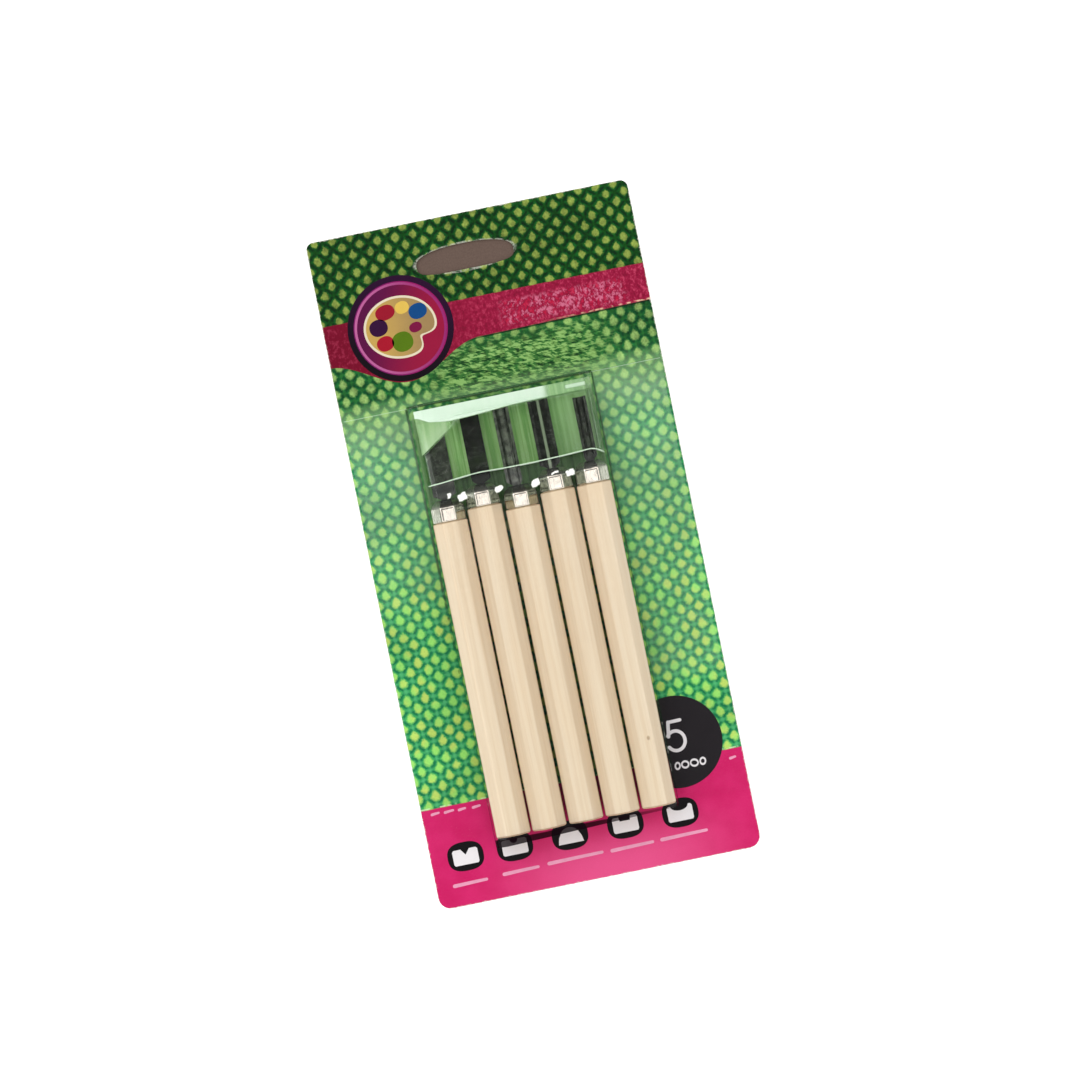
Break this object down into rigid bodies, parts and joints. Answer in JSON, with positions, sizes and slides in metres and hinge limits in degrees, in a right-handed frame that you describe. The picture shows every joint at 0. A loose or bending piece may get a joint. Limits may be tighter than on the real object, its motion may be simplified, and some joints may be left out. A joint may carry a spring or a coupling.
{
  "type": "carded lino-cutting tool set",
  "caption": "Wood-handled lino-cutting tools, each with a metal ferrule and a steel blade, under one clear blade guard on a hang card with a clear film.",
  "frame": {"origin": "centre of the card's back face, which lies on z = 0", "axes": "+Y along the card towards its hang slot, +X to the right as the printed face is read, +Z out of the printed face"},
  "size_m": [0.106, 0.22, 0.013],
  "materials": {
    "printed_card": "printed white board, semi-gloss varnish on the face and plain white on the back",
    "clear_film": "clear stretched film, glossy, with fine creases",
    "clear_vinyl": "soft clear vinyl, slightly green, glossy",
    "pale_wood": "unvarnished fine-grained pale wood",
    "ferrule_metal": "bright plated pressed steel",
    "blade_steel": "dark oil-blackened carbon steel with ground edges"
  },
  "bodies": {
    "pack": {"backing_card": "printed_card", "film_cover": "clear_film"},
    "guard": {"blade_guard": "clear_vinyl"},
    "tool_1": {"handle_1": "pale_wood", "ferrule_1": "ferrule_metal", "blade_1": "blade_steel"},
    "tool_2": {"handle_2": "pale_wood", "ferrule_2": "ferrule_metal", "blade_2": "blade_steel"},
    "tool_3": {"handle_3": "pale_wood", "ferrule_3": "ferrule_metal", "blade_3": "blade_steel"},
    "tool_4": {"handle_4": "pale_wood", "ferrule_4": "ferrule_metal", "blade_4": "blade_steel"},
    "tool_5": {"handle_5": "pale_wood", "ferrule_5": "ferrule_metal", "blade_5": "blade_steel"}
  },
  "joints": [
    {"name": "tool_1_slide", "type": "slide", "parent": "pack", "child": "tool_1", "axis": [0, -1, 0], "range_m": [0, 0.145]},
    {"name": "tool_2_slide", "type": "slide", "parent": "pack", "child": "tool_2", "axis": [0, -1, 0], "range_m": [0, 0.145]},
    {"name": "tool_3_slide", "type": "slide", "parent": "pack", "child": "tool_3", "axis": [0, -1, 0], "range_m": [0, 0.145]},
    {"name": "tool_4_slide", "type": "slide", "parent": "pack", "child": "tool_4", "axis": [0, -1, 0], "range_m": [0, 0.145]},
    {"name": "tool_5_slide", "type": "slide", "parent": "pack", "child": "tool_5", "axis": [0, -1, 0], "range_m": [0, 0.145]},
    {"name": "guard_slide", "type": "slide", "parent": "pack", "child": "guard", "axis": [0, 1, 0], "range_m": [0, 0.03]}
  ]
}
